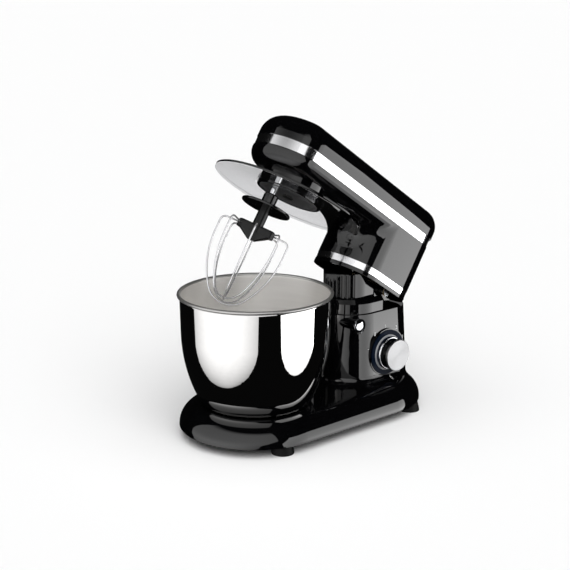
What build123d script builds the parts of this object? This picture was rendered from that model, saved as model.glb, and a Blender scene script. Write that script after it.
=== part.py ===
"""Stand mixer with a tilting head, drawn with the head raised and the whisk fitted.

The head pieces are drawn level, as they stand when the head is closed, and turned up
about the hinge when they are written. Y is counted from the bowl axis and Z from the table.
"""
import os
from math import acos, asin, cos, pi, radians, sin, sqrt, tan

from build123d import *

os.makedirs("parts", exist_ok=True)

# Where the bowl axis stands, so that the origin is under the middle of the whole object
BOWL_Y = -108.15

# Hinge of the head
HINGE_Y = 226.0
HINGE_Z = 176.0
HEAD_TILT = 33.3

# Base and column
WALL = 3.0
BASE_HALF = 111.0
BASE_REAR = 292.0
BASE_CORNER = 108.0
BASE_BOTTOM = 14.0
BASE_TOP = 46.0
BASE_SHOULDER = 30.5
COLUMN_TOP = 153.0
COLUMN_FOOT_PLAN = (55.0, 130.0, 278.0, 36.0)
COLUMN_TOP_PLAN = (52.0, 133.5, 271.0, 35.0)
COLUMN_FLARE = 10.0
SEAT_RADIUS = 79.0
SEAT_FLOOR = 26.0
LUG_ANGLES = (30, 150, 270)
SEAT_SCREW_PLACES = [(62 * cos(radians(angle)), 62 * sin(radians(angle))) for angle in LUG_ANGLES]
FOOT_PLACES = [(88.8, -26.6), (-88.8, -26.6), (86.0, 230.8), (-86.0, 230.8)]
COVER_SCREW_PLACES = [(90, 24), (-90, 24), (90, 150), (-90, 150), (48, 256), (-48, 256)]

# Bowl
BOWL_WALL = 1.2
BOWL_TOP = 206.0
BOWL_RIM_RADIUS = 111.0

# Head
HEAD_HALF = 60.0
HEAD_FRONT = -77.7
HEAD_REAR = 264.0
HEAD_CORNER = 32.0
HEAD_BOW = 70.0
NOSE_CORNER = 40.0
SHELL = 2.5
ARM_BOTTOM = 242.0
ARM_ROUND = 23.0
BAND_BOTTOM = 265.7
BAND_TOP = 280.1
HEAD_TOP = 319.5
TOP_ROUND = 29.0
NECK_FRONT = 124.1
NECK_BOTTOM = 174.5
NECK_BAND = (180.0, 190.0)
THROAT = 40.0
EAR_INNER, EAR_OUTER = 31.0, 37.0

# Planetary drive
HUB_RADIUS = 48.5
HUB_BOTTOM = 220.3
CARRIER_RADIUS = 44.6
RING_OUTSIDE = 45.2
ORBIT = 28.5
RING_TEETH = 52
PLANET_TEETH = 14
PLANET_MODULE = 1.5
MAIN_TEETH = 56
PINION_TEETH = 12
MAIN_MODULE = 1.25
COUNTER_Y = MAIN_MODULE * (MAIN_TEETH + PINION_TEETH) / 2
MOTOR_Y = 190.0
LARGE_PULLEY = 30.0
SMALL_PULLEY = 8.0
POST_PLACES = [(20, -38), (-20, -38), (27, 58), (-27, 58)]

# Whisk
WHISK_TURN = 47.0
WIRE_RADIUS = 1.2
WIRE_REACH = 51.0
WIRE_LEVEL = 155.0
WIRE_BEND = 8.0
WIRE_TIP = 41.0

# Controls on the column
KNOB_Y, KNOB_Z, KNOB_FACE = 213.0, 88.0, 55.5
LEVER_Y, LEVER_Z = 148.0, 142.0

# Planes: flat plans seen from above, and side views with Y across and Z up
LEVEL = Plane((0, BOWL_Y, 0))
SIDE = Plane((0, BOWL_Y, 0), x_dir=(0, 1, 0), z_dir=(1, 0, 0))


def stadium(z, half_width, front, rear, corner, bow=None, nose_corner=0.0):
    """Plan at height z with two rounded rear corners.

    The front is half-round, or a flatter bow with rounded corners where those are given.
    """
    bow = bow or half_width
    lean = asin((half_width - nose_corner) / (bow - nose_corner))
    centre = front + bow
    meet_x, meet_y = bow * sin(lean), centre - bow * cos(lean)
    side_y = centre - (bow - nose_corner) * cos(lean)
    middle = (lean + pi / 2) / 2
    bend_x = half_width - nose_corner * (1 - sin(middle))
    bend_y = side_y - nose_corner * cos(middle)
    rear_bend = corner * (1 - sqrt(0.5))
    with BuildSketch(LEVEL.offset(z)) as plan:
        with BuildLine():
            ThreePointArc((-meet_x, meet_y), (0, front), (meet_x, meet_y))
            for side in (-1, 1):
                edge = side * half_width
                if nose_corner:
                    ThreePointArc((side * meet_x, meet_y), (side * bend_x, bend_y), (edge, side_y))
                Line((edge, side_y), (edge, rear - corner))
                ThreePointArc((edge, rear - corner), (edge - side * rear_bend, rear - rear_bend),
                              (edge - side * corner, rear))
            Line((half_width - corner, rear), (corner - half_width, rear))
        make_face()
    return plan.sketch


def block(low, high, plan, top_round=0.0, bottom_round=0.0):
    """Solid between two heights over a stadium plan, with rounded top or bottom edges."""
    with BuildPart() as body:
        extrude(stadium(low, *plan), amount=high - low)
        if top_round:
            fillet(body.faces().sort_by(Axis.Z)[-1].edges(), top_round)
        if bottom_round:
            fillet(body.faces().sort_by(Axis.Z)[0].edges(), bottom_round)
    return body.part


def inset(plan, depth):
    """The same stadium plan drawn smaller by a wall thickness."""
    half_width, front, rear, *radii = plan
    return half_width - depth, front + depth, rear - depth, *[radius - depth for radius in radii]


def band(low, high, plan, thickness):
    """Closed strip that runs round a stadium plan."""
    with BuildPart() as strip:
        extrude(stadium(low, *plan), amount=high - low)
        extrude(stadium(low, *inset(plan, thickness)), amount=high - low, mode=Mode.SUBTRACT)
    return strip.part


def disc(low, high, radius, bore=0.0, place=(0, 0)):
    """Upright cylinder or ring between two heights."""
    with BuildPart() as body:
        with BuildSketch(LEVEL.offset(low)):
            with Locations(place):
                Circle(radius)
                if bore:
                    Circle(bore, mode=Mode.SUBTRACT)
        extrude(amount=high - low)
    return body.part


def cross_disc(start, end, radius, bore=0.0, place=(HINGE_Y, HINGE_Z)):
    """Cylinder or ring along X, at a place given by its Y and Z."""
    with BuildPart() as body:
        with BuildSketch(SIDE.offset(start)):
            with Locations(place):
                Circle(radius)
                if bore:
                    Circle(bore, mode=Mode.SUBTRACT)
        extrude(amount=end - start)
    return body.part


def brick(x_range, y_range, z_range):
    """Plain box between two values on each axis."""
    with BuildPart() as body:
        with BuildSketch(LEVEL.offset(z_range[0])):
            with Locations((sum(x_range) / 2, sum(y_range) / 2)):
                Rectangle(x_range[1] - x_range[0], y_range[1] - y_range[0])
        extrude(amount=z_range[1] - z_range[0])
    return body.part


def gear_outline(z, teeth, module, addendum, dedendum, slack, place=(0, 0), turn=0.0):
    """Spur gear outline: involute flanks at 25 degrees, drawn as short straight lines."""
    pressure = radians(25)
    pitch = module * teeth / 2
    base = pitch * cos(pressure)
    low, high = pitch - dedendum, pitch + addendum
    start = max(low, base)
    radii = [start + (high - start) * step / 3 for step in range(4)]

    def half_angle(radius):
        tilt = acos(min(1.0, base / radius))
        spread = (tan(pressure) - pressure) - (tan(tilt) - tilt)
        return pi / (2 * teeth) - slack / (2 * pitch) + spread

    flank = [(low, half_angle(start))] if low < start else []
    flank += [(radius, half_angle(radius)) for radius in radii]
    points = []
    for tooth in range(teeth):
        middle = radians(turn) + 2 * pi * tooth / teeth
        rising = [(radius, middle - angle) for radius, angle in flank]
        falling = [(radius, middle + angle) for radius, angle in reversed(flank)]
        points += [(place[0] + radius * cos(angle), place[1] + radius * sin(angle))
                   for radius, angle in rising + falling]
    with BuildSketch(LEVEL.offset(z)) as outline:
        with BuildLine():
            Polyline(*points, close=True)
        make_face()
    return outline.sketch


def belt_loop(z, height, large, small):
    """Solid inside a belt line drawn tight round two circles."""
    with BuildPart() as body:
        with BuildSketch(LEVEL.offset(z)):
            with BuildLine():
                CenterArc((0, COUNTER_Y), large, 0, 360)
                CenterArc((0, MOTOR_Y), small, 0, 360)
            make_hull()
        extrude(amount=height)
    return body.part


BASE_PLAN = (BASE_HALF, -BASE_HALF, BASE_REAR, BASE_CORNER)
ARM_PLAN = (HEAD_HALF, HEAD_FRONT, HEAD_REAR, HEAD_CORNER, HEAD_BOW, NOSE_CORNER)
TOP_PLAN = (HEAD_HALF, HEAD_FRONT, HEAD_REAR + 2.3, HEAD_CORNER, HEAD_BOW, NOSE_CORNER)
NECK_PLAN = (HEAD_HALF, NECK_FRONT, HEAD_REAR, HEAD_CORNER, HEAD_BOW, NOSE_CORNER)

# Base and column housing
with BuildPart() as base_cavity:
    add(block(BASE_BOTTOM, BASE_TOP - WALL, inset(BASE_PLAN, WALL), top_round=BASE_SHOULDER - WALL))
    loft(sections=[stadium(BASE_TOP - 10, *inset(COLUMN_FOOT_PLAN, WALL)),
                   stadium(COLUMN_TOP - WALL, *inset(COLUMN_TOP_PLAN, WALL))])
    add(disc(SEAT_FLOOR - WALL, BASE_TOP + 1, SEAT_RADIUS + WALL), mode=Mode.SUBTRACT)

with BuildPart() as base_housing:
    extrude(stadium(BASE_BOTTOM, *BASE_PLAN), amount=BASE_TOP - BASE_BOTTOM)
    fillet(base_housing.faces().sort_by(Axis.Z)[-1].edges(), BASE_SHOULDER)
    loft(sections=[stadium(BASE_TOP - 10, *COLUMN_FOOT_PLAN), stadium(COLUMN_TOP, *COLUMN_TOP_PLAN)])
    foot_edges = base_housing.edges().filter_by_position(Axis.Z, BASE_TOP - 13, BASE_TOP + 0.5)
    foot_edges = foot_edges.filter_by_position(Axis.X, -COLUMN_FOOT_PLAN[0], COLUMN_FOOT_PLAN[0])
    fillet(foot_edges.filter_by_position(Axis.Y, BOWL_Y + 125, BOWL_Y + 283), COLUMN_FLARE)
    add(cross_disc(46, KNOB_FACE, 36.5, place=(KNOB_Y, KNOB_Z)))
    add(base_cavity.part, mode=Mode.SUBTRACT)
    add(disc(SEAT_FLOOR, BASE_TOP + 1, SEAT_RADIUS), mode=Mode.SUBTRACT)
    for place in COVER_SCREW_PLACES:
        add(disc(BASE_BOTTOM + 2.5, BASE_TOP - 5, 5.0, place=place))
        add(disc(BASE_BOTTOM, BASE_BOTTOM + 13, 1.5, place=place), mode=Mode.SUBTRACT)
    add(cross_disc(46, 52, 12.0, place=(KNOB_Y, KNOB_Z)))
    add(cross_disc(40, 60, 5.0, place=(KNOB_Y, KNOB_Z)), mode=Mode.SUBTRACT)
    add(brick((-16, -10), (134.5, 160), (130, COLUMN_TOP - 2)))
    add(cross_disc(-20, 20, 4.05, place=(LEVER_Y, LEVER_Z)), mode=Mode.SUBTRACT)
    add(cross_disc(15, 60, 8.05, place=(LEVER_Y, LEVER_Z)), mode=Mode.SUBTRACT)
    add(disc(COLUMN_TOP - 4, COLUMN_TOP + 1, 12.0, place=(0, 186)), mode=Mode.SUBTRACT)
    with BuildSketch(Plane((0, BOWL_Y + BASE_REAR - 12, 26), x_dir=(1, 0, 0), z_dir=(0, 1, 0))):
        Circle(6.0)
    extrude(amount=20, mode=Mode.SUBTRACT)
    for place in SEAT_SCREW_PLACES:
        add(disc(SEAT_FLOOR - 4, SEAT_FLOOR + 1, 2.0, place=place), mode=Mode.SUBTRACT)

with BuildPart() as bottom_plate:
    extrude(stadium(BASE_BOTTOM, *inset(BASE_PLAN, WALL + 0.2)), amount=2.5)
    for place in FOOT_PLACES:
        add(disc(BASE_BOTTOM, BASE_BOTTOM + 3, 4.0, place=place), mode=Mode.SUBTRACT)
    for place in COVER_SCREW_PLACES:
        add(disc(BASE_BOTTOM, BASE_BOTTOM + 3, 1.5, place=place), mode=Mode.SUBTRACT)

with BuildPart() as bottom_screws:
    for place in COVER_SCREW_PLACES:
        add(disc(BASE_BOTTOM - 1.8, BASE_BOTTOM, 3.2, place=place))
        add(disc(BASE_BOTTOM, BASE_BOTTOM + 12, 1.5, place=place))

with BuildPart() as suction_feet:
    for place in FOOT_PLACES:
        with BuildSketch(Plane((place[0], BOWL_Y + place[1], 0), x_dir=(1, 0, 0), z_dir=(0, -1, 0))):
            Polygon((0, 2.5), (13, 0), (16, 0), (16, 2), (13, BASE_BOTTOM), (4, BASE_BOTTOM),
                    (4, BASE_BOTTOM + 5), (0, BASE_BOTTOM + 5), align=None)
        revolve(axis=Axis((place[0], BOWL_Y + place[1], 0), (0, 0, 1)))

with BuildPart() as cord_gland:
    with BuildSketch(Plane((0, BOWL_Y + BASE_REAR - 9, 26), x_dir=(1, 0, 0), z_dir=(0, 1, 0))):
        Circle(6.0)
        Circle(3.5, mode=Mode.SUBTRACT)
    extrude(amount=11)
    with BuildSketch(Plane((0, BOWL_Y + BASE_REAR + 0.2, 26), x_dir=(1, 0, 0), z_dir=(0, 1, 0))):
        Circle(8.5)
        Circle(3.5, mode=Mode.SUBTRACT)
    extrude(amount=2.5)

# Bowl seat with its bayonet ring, and the bowl
with BuildPart() as bowl_seat_plate:
    add(disc(SEAT_FLOOR, SEAT_FLOOR + 2.5, 70.0))
    add(disc(SEAT_FLOOR + 2.5, SEAT_FLOOR + 7, 54.0, bore=50.6))
    for angle in LUG_ANGLES:
        with BuildSketch(LEVEL.offset(SEAT_FLOOR + 5.2)):
            with BuildLine():
                CenterArc((0, 0), 51.0, angle - 12, 24)
                CenterArc((0, 0), 46.4, angle - 12, 24)
            make_hull()
            Circle(46.4, mode=Mode.SUBTRACT)
        extrude(amount=1.8)
    for place in SEAT_SCREW_PLACES:
        add(disc(SEAT_FLOOR, SEAT_FLOOR + 3, 2.0, place=place), mode=Mode.SUBTRACT)

with BuildPart() as seat_screws:
    for place in SEAT_SCREW_PLACES:
        add(disc(SEAT_FLOOR + 2.5, SEAT_FLOOR + 4.3, 4.0, place=place))
        add(disc(SEAT_FLOOR - 3.0, SEAT_FLOOR + 2.5, 2.0, place=place))

with BuildPart() as bowl:
    with BuildSketch(SIDE):
        with BuildLine():
            outer_wall = Line((107.2, BOWL_TOP), (106.2, 150))
            outer_side = JernArc(outer_wall @ 1, outer_wall % 1, 222.6, -24.8)
            outer_turn = JernArc(outer_side @ 1, outer_side % 1, 41.6, -64.2)
            outer_floor = Line(outer_turn @ 1, (0, (outer_turn @ 1).Y))
            middle = Line(outer_floor @ 1, (0, (outer_turn @ 1).Y + BOWL_WALL))
            inner_floor = Line(middle @ 1, ((outer_turn @ 1).X, (middle @ 1).Y))
            inner_turn = JernArc(inner_floor @ 1, (1, 0), 41.6 - BOWL_WALL, 64.2)
            inner_side = JernArc(inner_turn @ 1, inner_turn % 1, 222.6 - BOWL_WALL, 24.8)
            inner_wall = Line(inner_side @ 1, (107.2 - BOWL_WALL, BOWL_TOP))
            Line(inner_wall @ 1, outer_wall @ 0)
        make_face()
        with Locations((BOWL_RIM_RADIUS - 2.5, BOWL_TOP + 0.9)):
            Circle(2.5)
    revolve(axis=Axis((0, BOWL_Y, 0), (0, 0, 1)))

BOWL_FLAT = outer_turn @ 1

with BuildPart() as bowl_foot:
    add(disc(SEAT_FLOOR + 2.6, BOWL_FLAT.Y, 45.6, bore=38.0))
    for angle in LUG_ANGLES:
        with BuildSketch(LEVEL.offset(SEAT_FLOOR + 2.6)):
            with BuildLine():
                CenterArc((0, 0), 50.0, angle - 11, 22)
                CenterArc((0, 0), 44.0, angle - 11, 22)
            make_hull()
            Circle(44.0, mode=Mode.SUBTRACT)
        extrude(amount=2.2)

# Hinge tower, collar and pin on top of the column
with BuildPart() as column_collar:
    extrude(stadium(COLUMN_TOP, 48.8, 136.7, 214, 6), amount=21.6)
    chamfer(column_collar.faces().sort_by(Axis.Z)[-1].edges(), 6, 4)
    add(block(COLUMN_TOP - 1, COLUMN_TOP + 23, (39.5, 143.5, 230, 6)), mode=Mode.SUBTRACT)

with BuildPart() as hinge_tower:
    extrude(stadium(COLUMN_TOP, 37.0, 145, 205, 6), amount=59)
    add(cross_disc(-60, 60, 84.0), mode=Mode.INTERSECT)
    with BuildSketch(SIDE.offset(-50)):
        Polygon((170, 213), (206, 184), (206, 213), align=None)
    extrude(amount=100, mode=Mode.SUBTRACT)
    for step in range(-6, 7):
        spot = (37.6 * sin(radians(10 * step)), 182 - 37.6 * cos(radians(10 * step)))
        add(disc(COLUMN_TOP + 4, COLUMN_TOP + 58, 2.0, place=spot), mode=Mode.SUBTRACT)
    add(brick((-29.5, 29.5), (200, 242), (COLUMN_TOP, HINGE_Z)))
    add(cross_disc(-29.5, 29.5, 16.0))
    add(cross_disc(-45, 45, 4.0), mode=Mode.SUBTRACT)
    add(disc(COLUMN_TOP - 1, COLUMN_TOP + 60, 10.0, place=(0, 186)), mode=Mode.SUBTRACT)

with BuildPart() as hinge_pin:
    add(cross_disc(-39, 39, 4.0))
    for side in (-1, 1):
        add(cross_disc(*sorted((side * 38.2, side * 40)), 6.0))

# Speed control: fixed rings, turning knob, switch and board
with BuildPart() as light_ring:
    add(cross_disc(KNOB_FACE, KNOB_FACE + 1.5, 34.5, bore=27.7, place=(KNOB_Y, KNOB_Z)))

with BuildPart() as dial_plate:
    add(cross_disc(KNOB_FACE, KNOB_FACE + 2.2, 27.5, bore=8.0, place=(KNOB_Y, KNOB_Z)))
    chamfer(dial_plate.faces().sort_by(Axis.X)[-1].edges().sort_by(SortBy.LENGTH)[-1], 0.8)

with BuildPart() as rotary_switch:
    add(brick((30, 46), (KNOB_Y - 13, KNOB_Y + 13), (KNOB_Z - 13, KNOB_Z + 13)))
    add(cross_disc(46, KNOB_FACE, 5.0, place=(KNOB_Y, KNOB_Z)))
    add(cross_disc(34, 60, 3.04, place=(KNOB_Y, KNOB_Z)), mode=Mode.SUBTRACT)

with BuildPart() as control_board:
    add(brick((28, 30), (KNOB_Y - 33, KNOB_Y + 27), (KNOB_Z - 28, KNOB_Z + 30)))

with BuildPart() as switch_shaft:
    add(cross_disc(34.5, 70, 3.0, place=(KNOB_Y, KNOB_Z)))

with BuildPart() as knob_skirt:
    add(cross_disc(58.2, 64.5, 25.6, bore=12.0, place=(KNOB_Y, KNOB_Z)))
    fillet(knob_skirt.faces().sort_by(Axis.X)[-1].edges().sort_by(SortBy.LENGTH)[-1], 2.0)

with BuildPart() as knob_grip:
    add(cross_disc(58.2, 64.5, 12.0, place=(KNOB_Y, KNOB_Z)))
    add(cross_disc(64.5, 75.5, 23.5, place=(KNOB_Y, KNOB_Z)))
    fillet(knob_grip.faces().sort_by(Axis.X)[-1].edges(), 1.5)
    add(cross_disc(50, 70, 3.0, place=(KNOB_Y, KNOB_Z)), mode=Mode.SUBTRACT)

with BuildPart() as knob_cap:
    add(cross_disc(75.5, 79.0, 24.0, place=(KNOB_Y, KNOB_Z)))
    chamfer(knob_cap.faces().sort_by(Axis.X)[-1].edges(), 0.8)

# Head release lever on the front of the column
with BuildPart() as release_stem:
    add(cross_disc(-16.5, 22, 4.0, place=(LEVER_Y, LEVER_Z)))
    add(cross_disc(22, 50, 8.0, place=(LEVER_Y, LEVER_Z)))
    with BuildSketch(SIDE.offset(50)):
        with Locations((LEVER_Y, LEVER_Z)):
            Circle(8.0)
    with BuildSketch(SIDE.offset(58)):
        with Locations((LEVER_Y, LEVER_Z)):
            Circle(10.4)
    loft()

with BuildPart() as release_cap:
    add(cross_disc(58, 65.5, 11.2, place=(LEVER_Y, LEVER_Z)))
    fillet(release_cap.faces().sort_by(Axis.X)[-1].edges(), 2.4)

with BuildPart() as latch_arm:
    with BuildSketch(SIDE.offset(2)):
        with Locations((LEVER_Y + 7, LEVER_Z)):
            SlotOverall(30, 15)
        with Locations((LEVER_Y, LEVER_Z)):
            Circle(4.0, mode=Mode.SUBTRACT)
    extrude(amount=6)

# Head shells and trim
with BuildPart() as head_upper_shell:
    add(block(BAND_TOP, HEAD_TOP, TOP_PLAN, top_round=TOP_ROUND))
    add(block(BAND_TOP, HEAD_TOP - SHELL, inset(TOP_PLAN, SHELL), top_round=TOP_ROUND - SHELL),
        mode=Mode.SUBTRACT)

with BuildPart() as arm_outside:
    add(block(ARM_BOTTOM, BAND_BOTTOM, ARM_PLAN, bottom_round=ARM_ROUND))

with BuildPart() as head_lower_shell:
    add(arm_outside.part)
    extrude(stadium(NECK_BOTTOM, *NECK_PLAN), amount=BAND_BOTTOM - NECK_BOTTOM)
    throat = head_lower_shell.edges().filter_by_position(Axis.Z, ARM_BOTTOM - 0.5, BAND_BOTTOM - 0.3)
    fillet(throat.filter_by_position(Axis.Y, BOWL_Y + NECK_FRONT - 1, BOWL_Y + NECK_FRONT + 60), THROAT)
    add(block(ARM_BOTTOM + SHELL, BAND_BOTTOM, inset(ARM_PLAN, SHELL), bottom_round=ARM_ROUND - SHELL),
        mode=Mode.SUBTRACT)
    extrude(stadium(NECK_BOTTOM, *inset(NECK_PLAN, SHELL)), amount=BAND_BOTTOM - NECK_BOTTOM,
            mode=Mode.SUBTRACT)
    add(band(*NECK_BAND, NECK_PLAN, 1.3), mode=Mode.SUBTRACT)
    for place in POST_PLACES:
        add(disc(ARM_BOTTOM + 1, 249, 5.0, place=place))
    add(disc(ARM_BOTTOM - 1, ARM_BOTTOM + 5, 10.0), mode=Mode.SUBTRACT)
    add(brick((-28, 28), (HEAD_REAR - 5, HEAD_REAR + 5), (198, 260)), mode=Mode.SUBTRACT)
    for side in (-1, 1):
        ear = sorted((side * EAR_INNER, side * EAR_OUTER))
        web = sorted((side * EAR_INNER, side * (HEAD_HALF - 2)))
        add(brick(ear, (HINGE_Y - 9, HINGE_Y + 14), (HINGE_Z, HINGE_Z + 16)))
        add(brick(web, (HINGE_Y - 9, HINGE_Y + 14), (HINGE_Z + 8, HINGE_Z + 16)))
        add(cross_disc(*ear, 9.0))
    add(cross_disc(-40, 40, 6.5), mode=Mode.SUBTRACT)

with BuildPart() as head_trim_band:
    add(band(BAND_BOTTOM, BAND_TOP, inset(ARM_PLAN, 0.9), 2.2))

with BuildPart() as neck_trim_band:
    add(band(*NECK_BAND, inset(NECK_PLAN, 0.5), 0.8))

with BuildPart() as rear_cover:
    add(brick((-28, 28), (HEAD_REAR - 2.5, HEAD_REAR + 1), (198, 260)))
    for step in range(6):
        slot = (208 + 7 * step, 211 + 7 * step)
        add(brick((-20, 20), (HEAD_REAR - 5, HEAD_REAR + 5), slot), mode=Mode.SUBTRACT)

with BuildPart() as hinge_bushes:
    for side in (-1, 1):
        add(cross_disc(*sorted((side * EAR_INNER, side * EAR_OUTER)), 6.5, bore=4.05))
        add(cross_disc(*sorted((side * (EAR_INNER - 0.8), side * EAR_INNER)), 8.0, bore=4.05))

# Planetary hub under the nose
with BuildPart() as hub_housing:
    add(disc(HUB_BOTTOM, HUB_BOTTOM + 4, HUB_RADIUS, bore=CARRIER_RADIUS + 0.4))
    add(disc(HUB_BOTTOM + 4, 262, HUB_RADIUS, bore=RING_OUTSIDE))
    add(arm_outside.part, mode=Mode.SUBTRACT)

with BuildPart() as ring_gear:
    add(disc(230, 242, RING_OUTSIDE))
    extrude(gear_outline(230, RING_TEETH, PLANET_MODULE, 1.25 * PLANET_MODULE, 0.8 * PLANET_MODULE, -0.3,
                         turn=-90), amount=12, mode=Mode.SUBTRACT)

with BuildPart() as carrier_disc:
    add(disc(HUB_BOTTOM, HUB_BOTTOM + 3, CARRIER_RADIUS))
    fillet(carrier_disc.faces().sort_by(Axis.Z)[0].edges(), 1.0)
    add(disc(HUB_BOTTOM - 1, HUB_BOTTOM + 0.8, 41.0, bore=37.0), mode=Mode.SUBTRACT)
    add(disc(HUB_BOTTOM + 3, 229, 11.0))
    add(disc(HUB_BOTTOM + 3, 229, 11.0, place=(0, -ORBIT)))
    add(disc(HUB_BOTTOM - 1, 230, 6.0), mode=Mode.SUBTRACT)
    add(disc(HUB_BOTTOM - 1, 230, 5.05, place=(0, -ORBIT)), mode=Mode.SUBTRACT)

with BuildPart() as carrier_shaft:
    add(disc(HUB_BOTTOM, 282, 6.0))

with BuildPart() as carrier_nut:
    with BuildSketch(LEVEL.offset(HUB_BOTTOM - 2.5)):
        RegularPolygon(8.0, 6)
    extrude(amount=2.5)

with BuildPart() as main_gear:
    extrude(gear_outline(259, MAIN_TEETH, MAIN_MODULE, 0.8 * MAIN_MODULE, 1.25 * MAIN_MODULE, 0.25, turn=90),
            amount=8)
    add(disc(258, 268, 6.0), mode=Mode.SUBTRACT)

with BuildPart() as planet_pinion:
    extrude(gear_outline(231, PLANET_TEETH, PLANET_MODULE, PLANET_MODULE, 1.25 * PLANET_MODULE, 0.25,
                         place=(0, -ORBIT), turn=-90), amount=9)
    add(disc(230, 242, 5.0, place=(0, -ORBIT)), mode=Mode.SUBTRACT)

with BuildPart() as beater_shaft:
    add(disc(198, 240.5, 5.0, place=(0, -ORBIT)))
    add(cross_disc(-20, 20, 1.6, place=(-ORBIT, 203)), mode=Mode.SUBTRACT)

with BuildPart() as cross_pin:
    add(cross_disc(-9, 9, 1.6, place=(-ORBIT, 203)))

# Gearbox, countershaft and belt drive inside the arm
with BuildPart() as gearbox_plate:
    with BuildSketch(LEVEL.offset(249)):
        with BuildLine():
            for place in POST_PLACES:
                CenterArc(place, 7.0, 0, 360)
        make_hull()
    extrude(amount=4)
    add(disc(247.5, 255.5, 17.5))
    add(disc(248, 255.5, 14.0, place=(0, COUNTER_Y)))
    for place in POST_PLACES:
        add(disc(253, 271, 4.0, place=place))
    add(disc(240, 260, 14.0), mode=Mode.SUBTRACT)
    add(disc(240, 260, 11.0, place=(0, COUNTER_Y)), mode=Mode.SUBTRACT)

with BuildPart() as gearbox_cover:
    with BuildSketch(LEVEL.offset(271)):
        with BuildLine():
            for place in POST_PLACES:
                CenterArc(place, 7.0, 0, 360)
        make_hull()
    extrude(amount=8)
    add(disc(270, 280, 14.0), mode=Mode.SUBTRACT)
    add(disc(270, 280, 11.0, place=(0, COUNTER_Y)), mode=Mode.SUBTRACT)

with BuildPart() as ball_bearings:
    for low in (247.5, 271):
        add(disc(low, low + 8, 14.0, bore=6.03))
    for low in (248.5, 271.5):
        add(disc(low, low + 7, 11.0, bore=4.03, place=(0, COUNTER_Y)))
    for low in (226, 274.5):
        add(disc(low, low + 5, 8.0, bore=4.03, place=(0, MOTOR_Y)))

with BuildPart() as countershaft:
    add(disc(248.5, 297, 4.0, place=(0, COUNTER_Y)))
    extrude(gear_outline(258, PINION_TEETH, MAIN_MODULE, MAIN_MODULE, 1.25 * MAIN_MODULE, 0.25,
                         place=(0, COUNTER_Y), turn=-90 + 180 / PINION_TEETH), amount=10)

with BuildPart() as large_pulley:
    add(disc(284.8, 293.2, LARGE_PULLEY, bore=4.0, place=(0, COUNTER_Y)))
    for low in (283.8, 293.2):
        add(disc(low, low + 1, LARGE_PULLEY + 3, bore=4.0, place=(0, COUNTER_Y)))

with BuildPart() as drive_belt:
    add(belt_loop(285, 8, LARGE_PULLEY + 2.3, SMALL_PULLEY + 2.3))
    add(belt_loop(285, 8, LARGE_PULLEY + 0.3, SMALL_PULLEY + 0.3), mode=Mode.SUBTRACT)

with BuildPart() as motor_pulley:
    add(disc(284.8, 293.2, SMALL_PULLEY, bore=4.0, place=(0, MOTOR_Y)))
    for low in (283.8, 293.2):
        add(disc(low, low + 1, SMALL_PULLEY + 3, bore=4.0, place=(0, MOTOR_Y)))

# Motor inside the neck
with BuildPart() as motor_shaft:
    add(disc(216.5, 297, 4.0, place=(0, MOTOR_Y)))

with BuildPart() as armature:
    add(disc(234, 264, 20.0, bore=4.0, place=(0, MOTOR_Y)))
    for slot in range(12):
        spot = (20 * cos(radians(30 * slot)), MOTOR_Y + 20 * sin(radians(30 * slot)))
        add(disc(233, 265, 1.8, place=spot), mode=Mode.SUBTRACT)

with BuildPart() as commutator:
    add(disc(266, 273.5, 11.0, bore=4.0, place=(0, MOTOR_Y)))

with BuildPart() as cooling_fan:
    add(disc(217, 219, 28.0, bore=4.0, place=(0, MOTOR_Y)))
    add(disc(219, 224, 7.0, bore=4.0, place=(0, MOTOR_Y)))
    for blade in range(9):
        with BuildSketch(LEVEL.offset(219)):
            with Locations((0, MOTOR_Y)):
                with PolarLocations(16.5, 1, 40 * blade):
                    Rectangle(20, 1.6)
        extrude(amount=5)

with BuildPart() as motor_frame:
    for low in (226.5, 275):
        add(brick((-36, 36), (MOTOR_Y - 14, MOTOR_Y + 14), (low, low + 4)))
    for low in (-36, 33.5):
        add(brick((low, low + 2.5), (MOTOR_Y - 14, MOTOR_Y + 14), (226.5, 279)))
    add(disc(226, 231, 11.0, place=(0, MOTOR_Y)))
    add(disc(274.5, 279.5, 11.0, place=(0, MOTOR_Y)))
    add(disc(220, 285, 8.0, place=(0, MOTOR_Y)), mode=Mode.SUBTRACT)

with BuildPart() as motor_stator:
    add(brick((-33.5, 33.5), (MOTOR_Y - 30, MOTOR_Y + 30), (234, 264)))
    fillet(motor_stator.edges().filter_by(Axis.Z), 9)
    add(disc(230, 270, 20.6, place=(0, MOTOR_Y)), mode=Mode.SUBTRACT)

with BuildPart() as field_coils:
    for side in (-1, 1):
        with BuildSketch(LEVEL.offset(264)):
            with Locations((0, MOTOR_Y + side * 24)):
                SlotOverall(26, 5)
        extrude(amount=5)

with BuildPart() as brush_holders:
    for low in (-33.5, 11.4):
        add(brick((low, low + 22.1), (MOTOR_Y - 4, MOTOR_Y + 4), (267, 273)))

with BuildPart() as motor_mounts:
    for side in (-1, 1):
        add(brick(sorted((side * 36, side * (HEAD_HALF - SHELL))), (MOTOR_Y - 7, MOTOR_Y + 7), (240, 254)))

# Splash guard round the hub
with BuildPart() as splash_guard:
    with BuildSketch(SIDE):
        Polygon((48.56, 232), (48.56, 223.5), (51.5, 221), (108, 216.5), (110, 214.5), (112, 214.5),
                (112, 220.6), (110.2, 220.6), (108.6, 218.6), (53, 223.1), (50.6, 225.5), (50.6, 232),
                align=None)
    revolve(axis=Axis((0, BOWL_Y, 0), (0, 0, 1)))


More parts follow.
